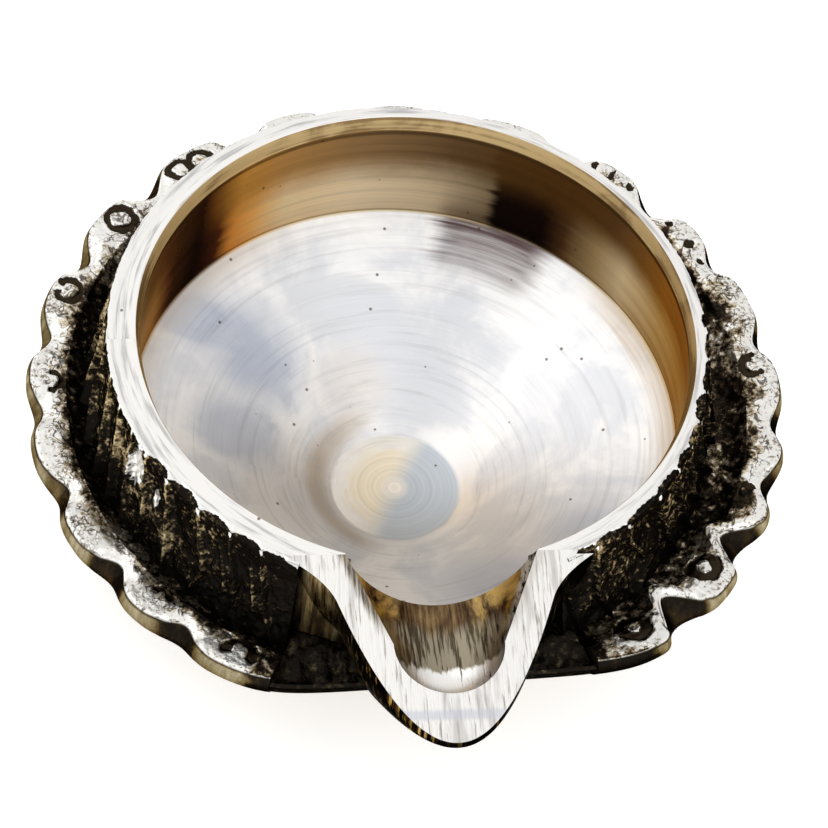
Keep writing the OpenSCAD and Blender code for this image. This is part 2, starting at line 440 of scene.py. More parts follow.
def filed_colours(n):
    """Colours of the filed top, the trough and the raw sides by place on the spout, and its strokes."""
    x, y, z = n.separate(n.coordinates)
    strokes = n.noise(n.stretch((1.0, 0.05, 0.25)), 3400, 4.0, 0.6)
    broad = n.noise(n.stretch((1.0, 0.10, 0.3)), 900, 3.0, 0.6)
    patches = n.noise(n.stretch((1.0, 0.35, 0.35)), 300, 5.0, 0.65, 0.5)
    uprights = n.noise(n.stretch((1.0, 1.0, 0.06)), 1900, 4.0, 0.6)

    top = n.mix(n.step(strokes, 0.47, 0.30), WHITE, (0.34, 0.31, 0.27))
    top = n.mix(n.times(n.step(broad, 0.52, 0.34), 0.65), top, (0.50, 0.48, 0.46))
    # A bluish band across the filed top near the tip: painted reflection
    bluish_reflection_band = n.band(n.wobble(y, strokes, 0.0009), -0.0474, -0.0463, 0.0003)
    top = n.mix(n.times(bluish_reflection_band, 0.55), top, (0.50, 0.52, 0.60))

    side_x = n.math("ABSOLUTE", x)
    taper = (TROUGH_HALF_W - BALL_R) / (TROUGH_START_Y - ball_y)
    narrowing = n.times(n.minus(TROUGH_START_Y * MM, y), taper)
    from_trough = n.minus(n.add(side_x, narrowing), TROUGH_HALF_W * MM)
    beside = n.step(n.wobble(from_trough, strokes, 0.002), 0.0014, 0.0004)
    beside = n.times(beside, n.step(y, -0.0385, -0.0350))
    beside = n.times(beside, n.add(0.35, n.times(n.step(x, 0.002, -0.002), 0.55)))
    missed = n.mix(n.step(strokes, 0.56, 0.42), (0.32, 0.26, 0.18), (0.06, 0.045, 0.03))
    top = n.mix(beside, top, missed)
    along = n.wobble(n.wobble(y, broad, 0.0030), patches, 0.0035)
    gold_zone = n.times(n.step(patches, 0.42, 0.60), n.step(side_x, 0.0020, 0.0052))
    upper = n.ramp(n.wobble(patches, strokes, 0.7), [
        (0.30, (0.03, 0.018, 0.010)), (0.50, (0.13, 0.08, 0.04)), (0.72, (0.30, 0.21, 0.10)),
    ])
    upper = n.mix(n.times(gold_zone, 0.85), upper, (0.66, 0.44, 0.15))
    scored = n.step(n.wobble(strokes, broad, 0.8), 0.56, 0.40)
    lower = n.mix(scored, (0.30, 0.26, 0.19), (0.07, 0.055, 0.035))
    lower = n.mix(n.times(gold_zone, 0.5), lower, (0.60, 0.46, 0.22))
    face = n.mix(n.step(n.wobble(strokes, broad, 0.6), 0.42, 0.30), WHITE, (0.12, 0.11, 0.09))
    trough = n.mix(n.step(along, -0.0322, -0.0342), upper, lower)
    trough = n.mix(n.step(along, -0.0386, -0.0392), trough, face)
    facet = n.step(n.wobble(strokes, broad, 0.6), 0.56, 0.38)
    facet = n.mix(facet, (0.58, 0.55, 0.50), (0.07, 0.05, 0.035))
    trough = n.mix(n.step(n.wobble(z, patches, 0.002), 0.0272, 0.0286), trough, facet)

    sides = n.ramp(n.wobble(uprights, patches, 0.5), [
        (0.50, BLACK), (0.60, (0.06, 0.045, 0.025)), (0.70, (0.34, 0.24, 0.10)), (0.82, PALE_GOLD),
    ])
    left = n.step(n.wobble(x, broad, 0.002), -0.0085, -0.0125)
    gilded = n.ramp(n.wobble(uprights, patches, 1.0), [
        (0.30, BLACK), (0.44, (0.10, 0.065, 0.03)), (0.58, (0.30, 0.21, 0.09)), (0.76, PALE_GOLD),
    ])
    sides = n.mix(n.times(left, n.step(y, -0.0385, -0.0340)), sides, gilded)
    root = n.step(n.wobble(side_x, patches, 0.003), 0.0150, 0.0135)
    sides = n.mix(root, BLACK, sides)
    return top, trough, sides, strokes


def rim_colours(n, radius, around):
    """Ground rim: nearly white with grey strokes round the axis."""
    streaks = n.noise(n.combine(radius, n.times(around, 0.0018), 0.0), 1700, 3.0, 0.6)
    return n.mix(n.step(streaks, 0.52, 0.34), WHITE, (0.52, 0.51, 0.50))


def wall_colours(n, z, around, clouds, coarse, fine):
    """Straight wall: painted reflections of what it mirrors, as tones by the angle round it, and painted
    shade near the lip.
    """
    # share of the way round, from 20 degrees before +X to 180 degrees past it
    share = n.times(n.add(n.wobble(n.times(around, 180 / math.pi), coarse, 5.0), 20.0), 1 / 200)
    # Tones by the angle round the wall: painted reflections of the surroundings
    wall = n.ramp(share, [
        (0.00, (0.58, 0.38, 0.18)), (0.12, (0.64, 0.40, 0.16)), (0.19, (0.76, 0.55, 0.25)),
        (0.26, (0.88, 0.75, 0.50)), (0.30, (0.52, 0.39, 0.21)), (0.345, (0.13, 0.07, 0.035)),
        (0.37, (0.024, 0.014, 0.011)), (0.428, (0.020, 0.012, 0.010)), (0.438, (0.42, 0.33, 0.20)),
        (0.49, (0.78, 0.65, 0.44)), (0.58, (0.94, 0.80, 0.56)), (0.665, (1.00, 0.80, 0.50)),
        (0.70, (1.00, 0.60, 0.22)), (0.728, (0.86, 0.42, 0.12)), (0.750, (0.14, 0.065, 0.035)),
        (0.785, (0.045, 0.026, 0.018)), (0.83, (0.16, 0.080, 0.040)), (0.87, (0.62, 0.36, 0.15)),
        (1.00, (0.60, 0.44, 0.26)),
    ])
    # Upper wall near the lip: painted shade under the rim, its tone changing by the angle round it
    high = n.step(n.wobble(z, clouds, 0.004), 0.0195, 0.0255)
    lip_shade_tone = n.ramp(share, [
        (0.00, (0.46, 0.26, 0.09)), (0.18, (0.44, 0.22, 0.06)), (0.28, (0.15, 0.075, 0.025)),
        (0.48, (0.15, 0.08, 0.028)), (0.58, (0.34, 0.20, 0.08)), (0.72, (0.62, 0.34, 0.10)),
        (0.78, (0.08, 0.04, 0.02)), (0.90, (0.28, 0.17, 0.07)), (1.00, (0.46, 0.32, 0.15)),
    ])
    wall = n.mix(n.times(high, 0.92), wall, lip_shade_tone)
    wall = n.darken(wall, n.wobble(n.wobble(1.0, coarse, 0.45), fine, 0.35))
    foot_line = n.band(n.wobble(z, coarse, 0.0003), 0.0148, 0.0153, 0.0002)
    return n.mix(n.times(foot_line, 0.5), wall, (0.20, 0.14, 0.07))


# Painted reflections of the sky on the bowl's floor, as blue-grey patches: centre in millimetres, radius,
# strength
SKY_REFLECTIONS = (
    ((-15.5, 13.5), 7.5, 0.75), ((-18.0, 4.0), 6.0, 0.6), ((-21.5, 16.0), 5.5, 0.6),
    ((9.0, -17.5), 8.0, 0.45), ((19.0, -12.0), 6.5, 0.4), ((17.0, 6.0), 5.0, 0.2),
)


def floor_colours(n, x, y, radius, around, clouds, coarse, fine, arcs):
    """Dished floor: nearly white, with painted reflections (soft clouds, a warm patch, one dark reflection
    and tones of the wall near its edge) and the turned centre, with painted reflections and a painted
    highlight.
    """
    # Grey-blue clouds over the near-white floor: painted reflections of the sky
    floor = n.mix(n.step(clouds, 0.42, 0.62), (0.93, 0.92, 0.91), (0.74, 0.75, 0.78))
    for centre, size, strength in SKY_REFLECTIONS:
        patch = n.times(n.blob((x, y), centre, size, clouds, 16.0), strength)
        floor = n.mix(patch, floor, (0.42, 0.47, 0.58))
    # A warm patch: painted reflection
    warm = n.blob((x, y), (-4.0, 12.0), 6.5, clouds, 6.0)
    floor = n.mix(n.times(warm, 0.35), floor, (0.82, 0.72, 0.60))
    degrees = n.wobble(n.wobble(n.times(around, 180 / math.pi), arcs, 12.0), coarse, 6.0)
    outer = n.step(n.wobble(radius, coarse, 0.004), 0.0222, 0.0285)
    shade = n.times(n.band(degrees, 52.0, 77.0, 3.5), outer)
    shade = n.times(shade, n.add(0.62, n.times(n.step(arcs, 0.62, 0.35), 0.35)))
    floor = n.mix(shade, floor, (0.10, 0.055, 0.055))
    # Brown tones near the wall on the left and the right: painted reflections of the wall
    left_edge = n.times(n.step(radius, 0.0262, 0.0300), n.step(x, -0.006, -0.020))
    floor = n.mix(n.times(left_edge, 0.55), floor, (0.45, 0.36, 0.25))
    right_edge = n.step(n.wobble(radius, arcs, 0.006), 0.0262, 0.0296)
    right_edge = n.times(right_edge, n.step(x, 0.020, 0.026))
    floor = n.mix(n.times(right_edge, 0.6), floor, (0.42, 0.28, 0.13))
    marks = n.times(n.step(arcs, 0.50, 0.30), 0.12)
    floor = n.darken(floor, n.minus(n.wobble(0.98, fine, 0.10), marks))
    disc = n.step(radius, 0.0074, 0.0069)
    # The turned centre: two tones split by a straight line, a bright halo strongest on the right, a brown
    # ring and fading on the left: painted reflections and a painted highlight
    left_half = n.step(n.add(x, n.times(y, -0.5)), 0.0018, -0.0020)
    disc_colour = n.mix(left_half, (0.50, 0.54, 0.58), (0.80, 0.71, 0.55))
    disc_colour = n.mix(n.step(radius, 0.0020, 0.0004), disc_colour, (0.80, 0.74, 0.66))
    disc_rings = n.noise(n.combine(radius, 0.0, 0.0), 2600, 2.0)
    disc_colour = n.darken(disc_colour, n.wobble(1.05, disc_rings, 0.5))
    halo = n.band(radius, 0.0074, 0.0086, 0.0005)
    halo = n.times(halo, n.minus(0.8, n.times(left_half, 0.6)))
    floor = n.mix(halo, floor, (0.92, 0.91, 0.90))
    brown_ring = n.times(n.band(radius, 0.0078, 0.0100, 0.0009), n.step(x, -0.001, -0.006))
    floor = n.mix(n.times(brown_ring, 0.55), floor, (0.50, 0.40, 0.28))
    fading = n.times(left_half, n.step(n.wobble(radius, arcs, 0.004), 0.0040, 0.0068))
    disc = n.times(disc, n.minus(1.0, n.times(fading, 0.7)))
    return n.mix(disc, floor, disc_colour)


def turned_brass():
    """Inside of the bowl and the rim: lathe marks round the axis, polished nearly white."""
    n = Nodes("turned_brass")
    x, y, z = n.separate(n.coordinates)
    radius = n.length(x, y)
    around = n.math("ARCTAN2", y, x)
    turned = n.combine(radius, n.times(around, 0.0003), z)
    fine = n.noise(turned, 5200, 2.0)
    coarse = n.noise(turned, 900, 3.0)
    arcs = n.noise(n.combine(radius, n.times(around, 0.0009), z), 1500, 4.0, 0.6)
    clouds = n.noise(n.coordinates, 85, 5.0, 0.6, 0.4)
    specks = n.cells(n.coordinates, 330)

    wall = wall_colours(n, z, around, clouds, coarse, fine)
    floor = floor_colours(n, x, y, radius, around, clouds, coarse, fine, arcs)
    colour = n.mix(n.step(z, 0.0148, 0.0150), floor, wall)
    lip_colour = n.step(n.wobble(clouds, arcs, 0.8), 0.40, 0.60)
    lip_colour = n.mix(lip_colour, (0.30, 0.20, 0.09), (0.64, 0.48, 0.24))
    colour = n.mix(n.step(n.wobble(z, clouds, 0.0004), 0.0291, 0.0295), colour, lip_colour)
    # A thin dark line just under the lip's chamfer: painted shadow
    lip_shadow_line = n.band(n.wobble(z, arcs, 0.0003), 0.0286, 0.0292, 0.0002)
    colour = n.mix(n.times(lip_shadow_line, 0.7), colour, (0.09, 0.055, 0.025))
    colour = n.mix(n.step(z, 0.03094, 0.03099), colour, rim_colours(n, radius, around))
    top, trough, sides, _ = filed_colours(n)
    raw = n.mix(n.step(clouds, 0.35, 0.65), (0.16, 0.12, 0.06), (0.36, 0.27, 0.13))
    raw = n.mix(n.step(z, 0.0145, 0.0150), raw, sides)
    colour = n.mix(n.attribute("raw"), colour, raw)
    pits = n.times(n.step(specks, 0.075, 0.045), n.step(n.attribute("raw"), 0.5, 0.4))
    colour = n.mix(n.times(pits, 0.8), colour, BROWN)
    colour = n.mix(n.attribute("top"), colour, top)
    colour = n.mix(n.attribute("trough"), colour, trough)
    roughness = n.add(0.38, n.times(coarse, 0.10))
    normal = n.bump(coarse, 0.00004, 0.3)
    return n.finish(colour, roughness, normal)


def filed_brass():
    """Spout: straight file marks along Y on the worn top, dark and gold where the file missed."""
    n = Nodes("filed_brass")
    top, trough, sides, strokes = filed_colours(n)
    colour = n.mix(n.attribute("trough"), sides, trough)
    colour = n.mix(n.attribute("top"), colour, top)
    roughness = n.add(0.26, n.times(strokes, 0.2))
    return n.finish(colour, roughness, n.bump(strokes, 0.00008, 0.6))


def leaf_brass():
    """Leaf relief: black ground, bronze granules, gold on the ridges, bright cusps at the rim and a few
    painted highlight spots.
    """
    n = Nodes("leaf_brass")
    relief = n.attribute("relief")
    granules = n.noise(n.coordinates, 1700, 4.0, 0.65)
    blotches = n.noise(n.coordinates, 240, 3.0, 0.6)
    worn = n.wobble(n.wobble(relief, granules, 2.0), blotches, 1.0)
    colour = n.ramp(worn, [
        (0.42, BLACK), (0.54, (0.045, 0.034, 0.020)), (0.66, (0.18, 0.135, 0.075)),
        (0.80, (0.46, 0.36, 0.20)), (0.96, PALE_GOLD),
    ])
    # shine holds the bright cusps at the rim and the painted highlight spots
    shining = n.step(n.wobble(n.attribute("shine"), granules, 1.5), 0.45, 0.60)
    x, y, _ = n.separate(n.coordinates)
    colour = n.mix(shining, colour, rim_colours(n, n.length(x, y), n.math("ARCTAN2", y, x)))
    roughness = n.minus(0.50, n.times(shining, 0.22))
    height = n.times(granules, n.minus(1.0, n.times(shining, 0.85)))
    return n.finish(colour, roughness, n.bump(height, 0.00022, 0.8))


def flange_brass():
    """Flange: bright worn top, speckled towards the black valley, with an olive skirt under it; painted
    shade in the skirt's hollows and in patches on the right of the top.
    """
    n = Nodes("flange_brass")
    granules = n.noise(n.coordinates, 1150, 4.0, 0.65)
    fine = n.noise(n.coordinates, 2600, 3.0, 0.6)
    blotches = n.noise(n.coordinates, 260, 3.0, 0.6)
    uprights = n.noise(n.stretch((1.0, 1.0, 0.08)), 700, 3.0, 0.6)
    worms = n.math("ABSOLUTE", n.minus(n.noise(n.coordinates, 760, 2.0, 0.5, 0.6), 0.5))
    inward = n.add(n.attribute("shine"), 0.29)
    ground = n.ramp(n.wobble(n.wobble(inward, granules, 1.7), blotches, 0.5), [
        (0.38, BLACK), (0.48, (0.06, 0.042, 0.026)), (0.60, (0.32, 0.25, 0.16)),
        (0.76, (0.66, 0.60, 0.48)),
    ])
    bright = n.step(n.wobble(fine, blotches, 0.6), 0.46, 0.30)
    bright = n.mix(bright, (0.80, 0.78, 0.74), (0.26, 0.22, 0.17))
    shining = n.step(n.wobble(n.attribute("shine"), granules, 2.1), 0.44, 0.56)
    top = n.mix(shining, ground, bright)
    cracked = n.step(n.wobble(n.attribute("shine"), blotches, 1.6), 1.05, 0.65)
    squiggles = n.times(n.step(worms, 0.042, 0.014), cracked)
    top = n.mix(n.times(squiggles, 0.85), top, (0.035, 0.024, 0.015))
    marked = n.step(n.wobble(n.wobble(n.attribute("mark"), granules, 1.8), fine, 0.8), 0.42, 0.58)
    top = n.mix(marked, top, (0.030, 0.022, 0.014))
    # The skirt's tone comes from the relief attribute, with painted shade in the notches' hollows
    skirt = n.ramp(n.wobble(n.wobble(n.attribute("relief"), uprights, 0.7), fine, 0.25), [
        (0.18, BLACK), (0.36, (0.035, 0.024, 0.012)), (0.52, (0.12, 0.085, 0.038)),
        (0.72, (0.22, 0.18, 0.10)), (0.98, (0.46, 0.40, 0.28)),
    ])
    colour = n.mix(n.attribute("skirt"), top, skirt)
    roughness = n.minus(0.46, n.times(shining, 0.18))
    return n.finish(colour, roughness, n.bump(granules, 0.00014, 0.7))


def pebbled_brass():
    """Ledge under the spout: black pebbled ground with a dull shine on a few grains."""
    n = Nodes("pebbled_brass")
    granules = n.noise(n.coordinates, 1300, 4.0, 0.65)
    colour = n.ramp(n.wobble(granules, n.attribute("relief"), 0.5), [
        (0.54, BLACK), (0.68, (0.035, 0.028, 0.018)), (0.84, (0.16, 0.13, 0.07)),
    ])
    return n.finish(colour, 0.42, n.bump(granules, 0.0003, 0.9))


def cast_brass():
    """Foot: dull, smooth casting with a little patina."""
    n = Nodes("cast_brass")
    blotches = n.noise(n.coordinates, 180, 4.0, 0.6)
    fine = n.noise(n.coordinates, 1800, 2.0)
    colour = n.mix(n.step(blotches, 0.35, 0.65), (0.20, 0.15, 0.07), (0.42, 0.32, 0.15))
    return n.finish(colour, 0.42, n.bump(fine, 0.0001, 0.5))


# -- pieces --

def lathe(name, profile, segments, centres, sharp=35):
    """Turn a profile of (radius, z) that starts and ends on the axis; centres gives each
    point's own axis. A radius or height may be an array with a value for each segment."""
    angles = np.arange(segments) * 360 / segments
    rows = [
        polar(angles, radius, z) + np.array([cx, cy, 0])
        for (radius, z), (cx, cy) in zip(profile, centres)
    ]
    first, last = rows[0][:1], rows[-1][:1]
    inner = rows[1:-1]
    count = len(inner) * segments
    faces = grid_faces(len(inner), segments, False, True)
    for j in range(segments):
        beside = (j + 1) % segments
        faces.append((count, j, beside))
        faces.append((count + 1, count - segments + beside, count - segments + j))
    vertices = np.concatenate([np.array(inner).reshape(-1, 3), first, last])
    return add_object(name, vertices, faces, sharp)


def slope_cutter():
    """Everything above the filed top of the spout."""
    xs, ys, zs = (-20, 20), (-40, 0), (0, 20)
    vertices = [(x, y, z) for x in xs for y in ys for z in zs]
    faces = [(0, 1, 3, 2), (4, 6, 7, 5), (0, 4, 5, 1), (2, 3, 7, 6), (0, 2, 6, 4), (1, 5, 7, 3)]
    box = add_object("slope_cutter", vertices, faces)
    turn = Matrix.Rotation(math.radians(TOP_SLOPE), 4, "X")
    box.data.transform(Matrix.Translation(Vector((0, CUT_START_Y, RIM_H)) * MM) @ turn)
    return box


def trough_cutter():
    """Cone that narrows towards the tip and ends in a ball."""
    segments = 128
    rows = []
    for t in shares(24):
        rows.append((TROUGH_START_Y + (ball_y - TROUGH_START_Y) * t,
                     trough_axis_z + (ball_z - trough_axis_z) * t,
                     trough_r + (BALL_R - trough_r) * t))
    for k in range(1, 20):
        a = math.pi / 2 * k / 20
        rows.append((ball_y - BALL_R * math.sin(a), ball_z, BALL_R * math.cos(a)))
    angles = np.arange(segments) * 2 * math.pi / segments
    vertices = [(r * math.cos(a), y, z + r * math.sin(a)) for y, z, r in rows for a in angles]
    faces = grid_faces(len(rows), segments, False, True)
    faces.append(tuple(range(segments)))
    vertices.append((0, ball_y - BALL_R, ball_z))
    last = (len(rows) - 1) * segments
    faces += [(last + j, len(vertices) - 1, last + (j + 1) % segments) for j in range(segments)]
    return add_object("trough_cutter", vertices, faces)


def combine(obj, other, operation):
    """Boolean with another mesh, applied, and the other mesh removed."""
    modifier = obj.modifiers.new("cut", "BOOLEAN")
    modifier.operation = operation
    modifier.solver = "EXACT"
    modifier.object = other
    depsgraph = bpy.context.evaluated_depsgraph_get()
    mesh = bpy.data.meshes.new_from_object(obj.evaluated_get(depsgraph))
    obj.modifiers.clear()
    obj.data = mesh
    bpy.data.objects.remove(other)


def mark_cut_faces(obj):
    """Masks on the faces made by the slope and the trough cutters."""
    xyz = np.empty(len(obj.data.vertices) * 3)
    obj.data.vertices.foreach_get("co", xyz)
    xyz = xyz.reshape(-1, 3) / MM
    x, y, z = xyz.T
    on_top = (np.abs(z - filed_surface_z(y)) < 0.03) & (y < CUT_START_Y + 0.05)
    t = np.clip((y - TROUGH_START_Y) / (ball_y - TROUGH_START_Y), 0, 1)
    reach = np.hypot(x, z - (trough_axis_z + (ball_z - trough_axis_z) * t))
    reach = np.hypot(reach, np.maximum(0, ball_y - y))
    in_trough = (reach < trough_r + (BALL_R - trough_r) * t + 0.15) & (y < TROUGH_START_Y + 0.1)
    mark_faces(obj, "top", on_top)
    mark_faces(obj, "trough", in_trough)
    return x, y, z


def rim_bite(angle):
    """How far the ground tops of the leaves reach into the rim, less where the rim is thin."""
    from_spout = np.minimum(angle, 360 - angle)
    turned = np.radians(angle - 90.0)
    width = RIM_R - MOUTH_R + CAST_OFFSET[0] * np.cos(turned) + CAST_OFFSET[1] * np.sin(turned)
    return np.minimum(RIM_BITE * smoothstep(27.0, 29.0, from_spout), width - THINNEST_RIM)


def make_bowl():
    """Turned bowl: dished floor, straight wall, chamfered lip and a flat rim, cut open at the spout."""
    segments = 512
    bite = rim_bite(np.arange(segments) * 360 / segments)
    profile = [(0, centre_z), (CENTRE_R - 0.3, centre_z), (CENTRE_R, centre_z + CENTRE_STEP)]
    for t in shares(40, 1):
        rise = (wall_z - centre_z - CENTRE_STEP) * t
        profile.append((CENTRE_R + (floor_edge_r - CENTRE_R) * t, centre_z + CENTRE_STEP + rise))
    for t in shares(12, 1):
        rise = (RIM_H - LIP_DROP - wall_z) * t
        profile.append((floor_edge_r + (MOUTH_R - 0.5 - floor_edge_r) * t, wall_z + rise))
    profile += [(MOUTH_R - 0.42, RIM_H - LIP_DROP + 0.1), (MOUTH_R, RIM_H - 0.08), (MOUTH_R + 0.08, RIM_H)]
    inside = len(profile)
    profile += [(RIM_R - 0.05 - bite, RIM_H), (RIM_R, RIM_H - 0.05 - bite), (RIM_R, under_cone_z(RIM_R)),
                (under_r, under_z), (0, under_z)]
    centres = [(0, 0)] * inside + [CAST_OFFSET] * (len(profile) - inside)
    bowl = lathe("turned_bowl", profile, segments, centres)
    combine(bowl, trough_cutter(), "DIFFERENCE")
    combine(bowl, slope_cutter(), "DIFFERENCE")
    mark_sharp(bowl.data, 30)
    x, y, z = mark_cut_faces(bowl)
    radius = np.hypot(x - CAST_OFFSET[0], y - CAST_OFFSET[1])
    mark_faces(bowl, "raw", (radius > RIM_R - 0.04) | (z < under_cone_z(radius) + 0.2))
    own(bowl, turned_brass(), "bowl")


def spout_half_width(y):
    """Half width of the spout from above: a parabola that flares where it meets the bowl."""
    t = (-y - BOW_ROOT) / (SPOUT_REACH - BOW_ROOT)
    flare = 0.12 * max(0.0, y + 34.0) ** 2
    return ROOT_HALF_W * math.sqrt(max(0.0, 1 - t)) + flare


def make_spout():
    """Stations along Y: upright at the root, falling away under the thin edge of the tip."""
    nose = SPOUT_REACH - np.linspace(0, 1, 28) ** 2 * 5.0
    stations = np.concatenate([np.linspace(-29.0, -44.9, 60), -nose[::-1]])
    stations[-1] = -SPOUT_REACH
    across = 48
    rows = []
    for y in stations:
        half = max(spout_half_width(y), 0.02)
        surface = float(filed_surface_z(y))
        edge = surface - TIP_EDGE_T * 0.8
        under = max(LEDGE_TOP_Z, edge - (y + SPOUT_REACH) * 0.95)
        row = []
        for k in range(across + 1):
            a = math.pi * k / across
            depth = abs(math.sin(a)) ** 0.6
            x = -half * math.copysign(abs(math.cos(a)) ** 0.55, math.cos(a))
            row.append((x * (1 - 0.12 * depth), y, edge + (under - edge) * depth))
        row.append((half, y, surface + 1.5))
        row.append((-half, y, surface + 1.5))
        rows.append(row)
    columns = across + 3
    faces = grid_faces(len(rows), columns, False, True)
    faces.append(tuple(range(columns)))
    faces.append(tuple((len(rows) - 1) * columns + k for k in range(columns))[::-1])
    spout = add_object("wick_spout", [p for row in rows for p in row], faces)
    core = lathe("core", [(0, 10), (RIM_R, 10), (RIM_R, 40), (0, 40)], 256, [CAST_OFFSET] * 4)
    combine(spout, core, "DIFFERENCE")
    combine(spout, trough_cutter(), "DIFFERENCE")
    combine(spout, slope_cutter(), "DIFFERENCE")
    mark_sharp(spout.data, 32)
    mark_cut_faces(spout)
    own(spout, filed_brass(), "spout")


def notch_depth(angle, share):
    """Depth of the scallops at each angle: round, and wider where they are deeper."""
    deepest = np.zeros_like(angle)
    for centre, depth in NOTCHES:
        away = np.abs(angle - centre) * math.pi / 180 * LOBE_TIP_R
        along = np.minimum(away / (NOTCH_HALF_W + 0.35 * depth), 1.0)
        bowed = 1 - np.minimum(np.hypot(away / LOBE_HALF_W, 0.15), 1.0)
        bowed = (1 - np.sqrt(1 - bowed ** 2)) / 0.473
        wave = 0.5 * np.cos(math.pi / 2 * along) ** 1.6 + 0.5 * bowed
        bitten = np.cos(math.pi / 2 * np.minimum(away / BITE_HALF_W, 1.0)) ** 1.1
        bitten = 0.75 * bitten + 0.25 * bowed
        round_share = min(1.0, max(0.0, (depth - 2.7) / 1.2))
        deepest = np.maximum(deepest, share * depth * (wave + (bitten - wave) * round_share))
    return deepest


def front_radius(angle):
    """Flat front of the casting, rounded where it meets the circle of the lobes."""
    front = FRONT_FLAT / np.maximum(0.5, np.cos(np.radians(angle - FRONT_SKEW)))
    return -FRONT_ROUND * np.log(np.exp(-front / FRONT_ROUND) + np.exp(-LOBE_TIP_R / FRONT_ROUND))


def edge_radius(angle, share):
    """Radius of the flange's edge, with its corners worn round."""
    step = 0.1
    around = np.arange(0, 360, step)
    turned = (around + 180.0) % 360.0 - 180.0
    front = np.where(np.abs(turned) < 60, front_radius(turned), LOBE_TIP_R)
    edge = np.minimum(LOBE_TIP_R - notch_depth(around, share), front)
    reach = 25
    weights = np.exp(-((np.arange(-reach, reach + 1) * step / EDGE_SOFT) ** 2))
    edge = np.concatenate([edge[-reach:], edge, edge[:reach]])
    edge = np.convolve(edge, weights / weights.sum(), "valid")
    return np.interp(angle, around, edge, period=360)


def capped(angle):
    """Angles with one more just inside each end, so that the end faces keep their own tone."""
    return np.concatenate([angle[:1], [angle[0] + 0.06], angle[1:-1], [angle[-1] - 0.06], angle[-1:]])


def punch(points, depth):
    """Rings and pits on the lobes: how black each point is, with its height lowered."""
    x, y = points[..., 0], points[..., 1]
    ragged = 0.75 * (octaves(points, 0.9, 31) - 0.5)
    mark = np.zeros_like(x)
    for cx, cy, radius, half_w, gap in RINGS:
        distance = np.hypot(x - cx, y - cy) + ragged
        ring = 1 - smoothstep(half_w * 0.9, half_w * 1.5, np.abs(distance - radius))
        outward = np.arctan2(cy, cx)
        turned = np.abs((np.arctan2(y - cy, x - cx) - outward + np.pi) % (2 * np.pi) - np.pi) / np.pi
        if gap:
            ring = ring * smoothstep(gap - 0.05, gap + 0.05, turned)
        mark = np.maximum(mark, ring)
    for cx, cy, radius in PITS:
        distance = np.hypot(x - cx, y - cy) + ragged
        mark = np.maximum(mark, 1 - smoothstep(radius * 0.7, radius * 1.2, distance))
    points[..., 2] -= depth * mark
    return mark


def flange_rows(angle, top_r, in_r, hollow):
    """The flange's section from the valley over the top and down the skirt, at every angle:
    points, shine, skirt mask and tone of each row, and how many rows lie on top."""
    columns = len(angle)
    mid_r = edge_radius(angle, (1 + NOTCH_FADE) / 2) + SKIRT_SWELL
    foot_r = edge_radius(angle, NOTCH_FADE) - SKIRT_DRAFT
    rows = []
    shine = []
    skirt = []
    tone = []

    def add(radius, z, shining, is_skirt=0.0, relief=0.0):
        rows.append(np.broadcast_to(polar(angle, radius, z), (columns, 3)))
        shine.append(np.broadcast_to(shining, columns))
        skirt.append(np.full(columns, is_skirt))
        tone.append(np.broadcast_to(relief, columns))

    add(RIM_R - 0.5, VALLEY_Z, 0.0)
    for t in shares(18):
        add(VALLEY_R + (in_r - VALLEY_R) * t, VALLEY_Z - 0.4 + 1.65 * t ** 2.4, 0.10 + 0.32 * t ** 1.1)
    for t in shares(28, 1):
        dip = 0.05 * (1 - t) ** 2 + NOTCH_DIP * hollow * t ** 2
        add(in_r + (top_r - 0.35 - in_r) * t, FLANGE_H - 0.03 - dip, 0.42 + 0.58 * min(1.0, t * 1.35))
    top_rows = len(rows)
    add(top_r - 0.10, FLANGE_H - 0.14 - NOTCH_DIP * hollow, 0.85)
    add(top_r, FLANGE_H - EDGE_DROP - NOTCH_DIP * hollow, 1.0, 1.0, 0.30)
    olive = smoothstep(205.0, 235.0, angle) * (1 - smoothstep(280.0, 294.0, angle))
    for t in shares(16, 1):
        low = 2 * (1 - t) * t
        radius = (1 - t) ** 2 * top_r + low * (2 * mid_r - (top_r + foot_r) / 2) + t * t * foot_r
        # The skirt is darker in the notches' hollows: painted shade, weaker on the left where the skirt is
        # olive
        hollow_shade = (0.62 - 0.44 * olive) * hollow * (1 - 0.35 * t)
        relief = 0.78 - hollow_shade - 0.35 * smoothstep(0.8, 1.0, t)
        drop = (FLANGE_H - EDGE_DROP - SKIRT_FOOT_Z) * t + NOTCH_DIP * hollow * (1 - t)
        add(radius, FLANGE_H - EDGE_DROP - drop, 0.0, 1.0, relief)
    add(foot_r - 0.25, SKIRT_FOOT_Z, 0.0, 1.0, 0.3)
    for radius, z in ((GROOVE_R + 0.6, SKIRT_FOOT_Z), (GROOVE_R, SKIRT_FOOT_Z + 0.8),
                      (RIM_R + 1.5, FLANGE_FOOT_Z), (RIM_R - 0.5, FLANGE_FOOT_Z)):
        add(radius, z, 0.0, 1.0, 0.3)
    return np.array(rows), np.array(shine), np.array(skirt), np.array(tone), top_rows


